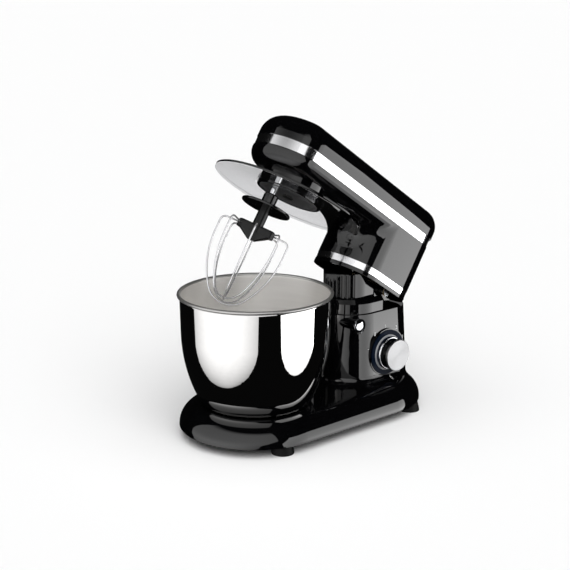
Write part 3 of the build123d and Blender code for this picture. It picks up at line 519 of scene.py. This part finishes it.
# Clear acrylic sheet: nearly colourless, sharp reflections
FINISHES["clear_guard"] = clear_plastic("clear_acrylic", ("#f0f0f1", "#f8f8f9"), 0.01)
# The same plastic at the rim with a near-black tint: painted shade for the dark look of the edge seen edge
# on
guard_edge_shade = clear_plastic("clear_acrylic_edge", ("#141516", "#1e1f20"), 0.01)
print("clear plastics", FINISHES["clear_guard"].name, guard_edge_shade.name)

# %% [markdown]
# ## Splash guard
# The guard is a shallow dish about 2 mm thick, with a short collar round the hub and a low upright rim. Its
# profile is turned round the axis of the hub, as a Screw modifier could do too. The faces of the rim are
# found by their distance from the middle, and they take the dark tint: painted shade for the dark edge.

# %% Splash guard
# Closed profile in millimetres from the hub's axis and up: collar, underside, rim, top side
GUARD_PROFILE = [(49.2, 232.0), (49.2, 223.5), (51.5, 221.0), (108.0, 216.5), (111.0, 216.1),
                 (112.0, 216.6), (112.0, 219.8), (111.2, 220.2), (108.6, 218.6), (53.0, 223.1),
                 (50.6, 225.5), (50.6, 232.0)]
GUARD_SPACING = 4.0
RIM_LEVEL, RIM_START = 217.5, 111.5

profile = np.array(GUARD_PROFILE + GUARD_PROFILE[:1])
radii, heights = outline(profile, spacing=GUARD_SPACING)
guard = add_surface("guard_clear", raised(turned(radii[:-1], heights[:-1])), closed_rows=True)
guard.data.materials.append(FINISHES["clear_guard"])
guard.data.materials.append(guard_edge_shade)
rim_middle = raised(np.array([0.0, 0.0, RIM_LEVEL]))
from_middle = np.linalg.norm(face_values(guard, "center") - rim_middle, axis=1) / MM
# Rim faces take the dark tinted copy of the plastic: painted shade along the edge
guard.data.polygons.foreach_set("material_index", (from_middle > RIM_START).astype(np.int32))
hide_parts("splash_guard")
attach(guard, "guard")
print("guard faces", len(guard.data.polygons))

# %% [markdown]
# ## Bowl shape
# The bowl is drawn from one sheet of stainless steel, with its rim rolled over. The profile runs from under
# the middle, up the outside, round the rim and down the inside: a foot arc, a flatter side arc that meets
# it without a kink, and a nearly upright wall. A curve with a Screw modifier could do it; the numpy grid
# also gives the map that the brushed finish follows.

# %% Bowl shape
BOWL_WALL = 1.2
BOWL_TOP, BOWL_RIM = 206.0, 111.0
WALL_TOP, WALL_KNEE = np.array([107.2, BOWL_TOP]), np.array([106.2, 150.0])
SIDE_RADIUS, SIDE_TURN = 222.6, 24.8
FOOT_RADIUS, FOOT_TURN = 41.6, 64.2
# The roll of the rim: its radius, its middle above the wall, and how far it goes round each way in degrees
ROLL_RADIUS, ROLL_RISE, ROLL_TURN = 2.5, 0.9, 150
BOWL_SPACING, BOWL_COLUMNS = 4.0, 256

fall = np.degrees(np.arctan2(*(WALL_KNEE - WALL_TOP)[::-1]))
inward = np.array([np.sin(np.radians(fall)), -np.cos(np.radians(fall))])
side_centre = WALL_KNEE + SIDE_RADIUS * inward
side_angle = np.degrees(np.arctan2(*(-inward)[::-1]))
side_end = side_angle - SIDE_TURN
joint_way = np.array([np.cos(np.radians(side_end)), np.sin(np.radians(side_end))])
foot_centre = side_centre + SIDE_RADIUS * joint_way - FOOT_RADIUS * joint_way
foot_end = side_end - FOOT_TURN


def bowl_side(inset):
    """Half profile from the middle of the floor to the top of the wall, moved in by a wall thickness."""
    foot = arc(foot_centre, FOOT_RADIUS - inset, foot_end, side_end, count=40)
    side = arc(side_centre, SIDE_RADIUS - inset, side_end, side_angle, count=40)
    return np.concatenate([[(0.0, foot[0, 1])], foot, side, [WALL_TOP - (inset, 0)]])


roll_centre = (BOWL_RIM - ROLL_RADIUS, BOWL_TOP + ROLL_RISE)
roll = arc(roll_centre, ROLL_RADIUS, -ROLL_TURN, ROLL_TURN, count=28)
outer = outline(bowl_side(0.0), spacing=BOWL_SPACING)
inner = outline(bowl_side(BOWL_WALL)[::-1], spacing=BOWL_SPACING)
radii = np.concatenate([outer[0], roll[:, 0], inner[0]])
heights = np.concatenate([outer[1], roll[:, 1], inner[1]])
bowl = add_surface("bowl_steel_sheet", standing(turned(radii, heights, columns=BOWL_COLUMNS)))
print("bowl faces", len(bowl.data.polygons))

# %% [markdown]
# ## Bowl finishes
# The outside is polished to a mirror, the inside is brushed on a lathe, and the rolled rim is only ground.
# The faces of the inside are those that look to the axis or up; the rim is all near or above the wall's
# top. Brush lines run round the bowl, so their noise is drawn long round it and short along the profile.
# Inside and rim get a dull share, which stands in for the pale floor that mirror rays do not meet.

# %% Bowl finishes
# A face looks in when the outward share of its normal is below the first, and up when the upward share is
# above the second
LOOKS_IN, LOOKS_UP = -0.02, 0.7
ROLLED_ABOVE = BOWL_TOP - 2.0

# Buffed 18/10 stainless: the eye gets the room, a little greyer than chrome
bowl_mirror = finish("polished_stainless", ("#c8c7c6", "#cfcecd"), (0.02, 0.035), 8.0, Metallic=1.0)
# Lathe brushed stainless: a soft pale grey with faint rings
bowl_brushed = finish("brushed_stainless", ("#eceae7", "#fbf9f6"), (0.34, 0.44), 0.004, stretch=(60, 1, 1),
                      spun=0.8, Metallic=0.7)
# Ground stainless of the rim: greyer than the wall, with a broad soft highlight
bowl_ground = finish("ground_stainless", ("#a4a3a1", "#b6b5b3"), (0.26, 0.34), 0.6, Metallic=0.82)
for steel in (bowl_mirror, bowl_brushed, bowl_ground):
    bowl.data.materials.append(steel)
centres, normals = face_values(bowl, "center"), face_values(bowl, "normal")
spoke = (centres - (0.0, BOWL_Y, 0.0)) * (1, 1, 0)
outward = (normals * spoke).sum(1) / np.linalg.norm(spoke, axis=1)
inside = (outward < LOOKS_IN) | (normals[:, 2] > LOOKS_UP)
rolled = centres[:, 2] > ROLLED_ABOVE * MM
bowl.data.polygons.foreach_set("material_index", np.where(rolled, 2, inside).astype(np.int32))
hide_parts("bowl")
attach(bowl, "mixing_bowl")
print("faces inside", int((inside & ~rolled).sum()), "on the rim", int(rolled.sum()))

# %% [markdown]
# ## Path of a wire
# Four loops of drawn wire leave the ends and sides of the flat hub, run out to a shoulder, bend down and
# meet in a round tip. A curve object could be bent by hand; lines and arcs that touch without a kink can be
# written down. Below its shoulder each loop lies in a plane of its own, and a half turn gives its other
# half.

# %% Path of a wire
WIRE_REACH, WIRE_LEVEL, WIRE_BEND = 51.0, 155.0, 8.0
WIRE_KNEE, WIRE_LEAN = 132.0, np.radians(35)
WIRE_TIP, TIP_STEP = 41.0, 2.7
# Where wires leave the flat hub: along it at the ends and near the corners, and out at the sides
HUB_END, HUB_CORNER, HUB_SIDE = 20.0, 22.0, 3.0
BEND_POINTS, ARC_POINTS = 12, 24


def wire_half(angle, tip):
    """Half of one loop from hub to tip, as points in whisk millimetres.

    Straight out from the hub, round the shoulder, straight down, in along a side arc, round the tip arc.
    """
    ray = np.array([np.cos(angle), np.sin(angle)])
    along, across = np.round(ray)
    start = np.array([HUB_CORNER * along, HUB_SIDE * across] if across else [HUB_END * along, 0.0])
    reach = WIRE_REACH * ray - start
    heading = reach / np.linalg.norm(reach)
    bend = np.linspace(0, np.pi / 2, BEND_POINTS)
    back = WIRE_BEND * (1 - np.sin(bend))
    drop = WIRE_BEND * (1 - np.cos(bend))
    shoulder = np.column_stack([WIRE_REACH * ray - back[:, None] * heading, WIRE_LEVEL - drop])
    fall = WIRE_KNEE - tip
    scale = (1 - np.cos(WIRE_LEAN)) * (1 - np.sin(WIRE_LEAN)) - np.cos(WIRE_LEAN) * np.sin(WIRE_LEAN)
    side_radius = (WIRE_REACH * (1 - np.sin(WIRE_LEAN)) - np.cos(WIRE_LEAN) * fall) / scale
    tilt = np.linspace(0, WIRE_LEAN, ARC_POINTS)
    side = np.column_stack([WIRE_REACH - side_radius * (1 - np.cos(tilt)),
                            WIRE_KNEE - side_radius * np.sin(tilt)])
    end_out, end_down = side[-1]
    tip_radius = (end_out ** 2 + (end_down - tip) ** 2) / (2 * (end_down - tip))
    sweep = np.linspace(np.arctan2(end_out, tip_radius - (end_down - tip)), 0, ARC_POINTS)
    round_tip = np.column_stack([tip_radius * np.sin(sweep), tip + tip_radius * (1 - np.cos(sweep))])
    lower = np.concatenate([side, round_tip[1:]])
    lower = np.column_stack([lower[:, :1] * ray, lower[:, 1]])
    return np.concatenate([[(*start, WIRE_LEVEL)], shoulder, lower])


print("points of half a loop", len(wire_half(0.0, WIRE_TIP)))

# %% [markdown]
# ## Whisk wires
# The wires are round and 2.4 mm thick, and where they cross in the middle each passes above the one before.
# A curve with a bevel would do; the numpy tube keeps its rings square to the path and needs no live
# modifier.

# %% Whisk wires
LOOPS = 4
ORBIT = 28.5
WHISK_TURN = np.radians(47.0)
WIRE_RADIUS = 1.2


def tube(path, radius, sides=12):
    """Rings of points square to a path, each counted from the level direction across its ends."""
    ahead = np.gradient(path, axis=0)
    ahead /= np.linalg.norm(ahead, axis=1)[:, None]
    flat = np.cross(path[-1] - path[0], (0.0, 0.0, 1.0))
    first = flat / np.linalg.norm(flat)
    first = first - (ahead @ first)[:, None] * ahead
    first /= np.linalg.norm(first, axis=1)[:, None]
    second = np.cross(ahead, first)
    angle = np.linspace(0, 2 * np.pi, sides, endpoint=False)[:, None, None]
    rings = path + radius * (np.cos(angle) * first + np.sin(angle) * second)
    ends = [np.repeat(path[at][None, None], sides, 1) for at in (0, -1)]
    return np.concatenate([ends[0], rings.transpose(1, 0, 2), ends[1]])


spin = np.array([[np.cos(WHISK_TURN), -np.sin(WHISK_TURN), 0], [np.sin(WHISK_TURN), np.cos(WHISK_TURN), 0],
                 [0, 0, 1]])
for number in range(LOOPS):
    angle = np.pi / LOOPS * number
    tip = WIRE_TIP + TIP_STEP * number
    loop = np.concatenate([wire_half(angle, tip), wire_half(angle + np.pi, tip)[::-1][1:]])
    placed = loop @ spin.T + (0.0, -ORBIT, 0.0)
    wire = add_surface(f"whisk_wire_{number + 1}", raised(tube(placed, WIRE_RADIUS)))
    wire.data.materials.append(FINISHES["wire_steel"])
    if number == 0:
        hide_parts("whisk_wires")
    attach(wire, "beater")
print("loops", LOOPS, "of", len(loop), "points each")

# %% [markdown]
# ## Speed knob cap
# The cap is a disc of aluminium faced on a lathe: fine rings round its middle stretch every highlight into
# a pair of bright fans. The rings come from noise along the profile, and the shader's tangent runs round.

# %% Speed knob cap
CAP_RADIUS, CAP_BEVEL = 24.0, 0.8
cap_back, cap_front = cap_low.x / MM, cap_high.x / MM
cap_line = [(0.0, cap_back), (CAP_RADIUS, cap_back), (CAP_RADIUS, cap_front - CAP_BEVEL),
            (CAP_RADIUS - CAP_BEVEL, cap_front), (0.0, cap_front)]
radii, heights = outline(np.array(cap_line), spacing=0.4)
cap = add_surface("knob_cap_spun", facing_knob(turned(radii, heights, columns=128)))
# Spun aluminium: pale, with soft fans
FINISHES["brushed_aluminium"] = finish("spun_aluminium", ("#949495", "#aaaaab"), (0.3, 0.42), 0.01,
                                       stretch=(80, 1, 1), spun=0.75, Metallic=1.0)
cap.data.materials.append(FINISHES["brushed_aluminium"])
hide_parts("knob_cap")
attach(cap, "speed_knob")
print("cap faces", len(cap.data.polygons))

# %% [markdown]
# ## Release cap
# The push cap of the lever is chromium plated and slightly domed, so it gathers the bright panel and the
# dark beside it in one small disc. Its profile is a short wall and the arc of a sphere.

# %% Release cap
push_low, push_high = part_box("release_cap")
PUSH_RADIUS, PUSH_RISE = (push_high.y - push_low.y) / 2 / MM, 3.6
push_back, push_front = push_low.x / MM, push_high.x / MM
dome_radius = (PUSH_RADIUS ** 2 + PUSH_RISE ** 2) / (2 * PUSH_RISE)
dome_edge = np.degrees(np.arcsin(PUSH_RADIUS / dome_radius))
dome = arc((0.0, push_front - dome_radius), dome_radius, 90 - dome_edge, 90, count=24)
radii, heights = outline([(0.0, push_back), (PUSH_RADIUS, push_back)], dome)
push_centre = np.array([0.0, (push_low.y + push_high.y) / 2, (push_low.z + push_high.z) / 2])
push_points = turned(radii, heights, columns=96)[..., [2, 0, 1]] * MM + push_centre
push = add_surface("release_cap_dome", push_points)
push.data.materials.append(FINISHES["chrome"])
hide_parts("release_cap")
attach(push, "release_lever")
print("dome faces", len(push.data.polygons))

# %% [markdown]
# ## Side of the column
# The marks round the dial are printed on the side of the column. It leans in, its rear corner is rounded,
# and its foot is a hollow flare. A Shrinkwrap modifier could press the marks on; a formula needs no other
# mesh.

# %% Side of the column
# Half width, start of the rear corner, its radius and height of the column at its foot and at its top
COLUMN_FOOT, COLUMN_TOP = (55.0, 242.0, 36.0, 36.0), (52.0, 236.0, 35.0, 153.0)
FLARE_TOP, FLARE_RADIUS = 56.0, 10.0


def side_of_column(y, z):
    """Half width of the column at points, in millimetres: even lean, less a corner arc, plus a foot arc.

    Both arcs are r - sqrt(r squared - d squared), for a distance d past the start of the arc.
    """
    share = (z - COLUMN_FOOT[3]) / (COLUMN_TOP[3] - COLUMN_FOOT[3])
    half, start, radius = [foot + share * (top - foot) for foot, top in zip(COLUMN_FOOT[:3], COLUMN_TOP)]
    past = np.clip(y - start, 0, radius)
    below = np.clip(FLARE_TOP - z, 0, FLARE_RADIUS)
    corner = radius - np.sqrt(radius ** 2 - past ** 2)
    return half - corner + FLARE_RADIUS - np.sqrt(FLARE_RADIUS ** 2 - below ** 2)


print("half width at the knob", round(float(side_of_column((KNOB_Y - BOWL_Y) / MM, KNOB_Z / MM)), 2), "mm")

# %% [markdown]
# ## Marks round the dial
# Plain white numbers stand evenly round the knob, like pad print. They are text turned into thin solids,
# and each point is moved out to the side of the column, so that the print follows it like a decal. An image
# could carry them too, but would be blurred from near by.

# %% Marks round the dial
MARKS = "-0123456"
MARK_RADIUS, MARK_HEIGHT, MARK_DEPTH = 40.3, 5.4, 0.3
FIRST_MARK, MARK_STEP = 163.0, 35.0
# A digit is this much lower than the size of its font
FONT_RATIO = 1.4

marks_shape = bmesh.new()
for number, sign in enumerate(MARKS):
    angle = np.radians(FIRST_MARK - MARK_STEP * number)
    words = bpy.data.curves.new("mark", "FONT")
    words.body = sign
    words.size = MARK_HEIGHT * FONT_RATIO * MM
    words.extrude = MARK_DEPTH * MM
    words.align_x = "CENTER"
    words.align_y = "CENTER"
    holder = bpy.data.objects.new("mark", words)
    scene.collection.objects.link(holder)
    flat = bpy.data.meshes.new_from_object(holder.evaluated_get(bpy.context.evaluated_depsgraph_get()))
    points = np.empty(3 * len(flat.vertices))
    flat.vertices.foreach_get("co", points)
    points = points.reshape(-1, 3)[:, [2, 0, 1]]
    points += (0.0, KNOB_Y + MARK_RADIUS * MM * np.cos(angle), KNOB_Z + MARK_RADIUS * MM * np.sin(angle))
    points[:, 0] += side_of_column((points[:, 1] - BOWL_Y) / MM, points[:, 2] / MM) * MM
    flat.vertices.foreach_set("co", points.ravel())
    marks_shape.from_mesh(flat)
    bpy.data.objects.remove(holder)
    bpy.data.curves.remove(words)
    bpy.data.meshes.remove(flat)
marks_mesh = bpy.data.meshes.new("dial_marks")
marks_shape.to_mesh(marks_mesh)
marks_shape.free()
marks = bpy.data.objects.new("dial_marks", marks_mesh)
scene.collection.objects.link(marks)
# Pad printed ink: matt white, a little uneven
marks_mesh.materials.append(finish("white_print", ("#e4e4e4", "#f0f0f0"), (0.45, 0.6), 0.5, IOR=1.5))
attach(marks, "base")
print("marks", len(MARKS), "with faces", len(marks_mesh.polygons))

# %% [markdown]
# ## Dress the rest
# Every remaining solid of the frame takes the finish of its material slot. A few pieces share a slot with
# others but look different on the mixer, so they are named and get a finish of their own.

# %% Dress the rest
SPECIAL = {"carrier_nut": "blackened_steel", "carrier_disc": "filled_nylon", "whisk_sleeve": "gloss_black",
           "dough_guard": "gloss_black"}

for node in NODES.values():
    slot = node.material_slots[0].material.name
    if slot in FINISHES:
        node.material_slots[0].material = FINISHES[slot]
for name, kind in SPECIAL.items():
    NODES[name].material_slots[0].material = FINISHES[kind]
undressed = sorted({node.material_slots[0].material.name for node in NODES.values()}
                   - {material.name for material in FINISHES.values()})
print("slots left to the new pieces", undressed)
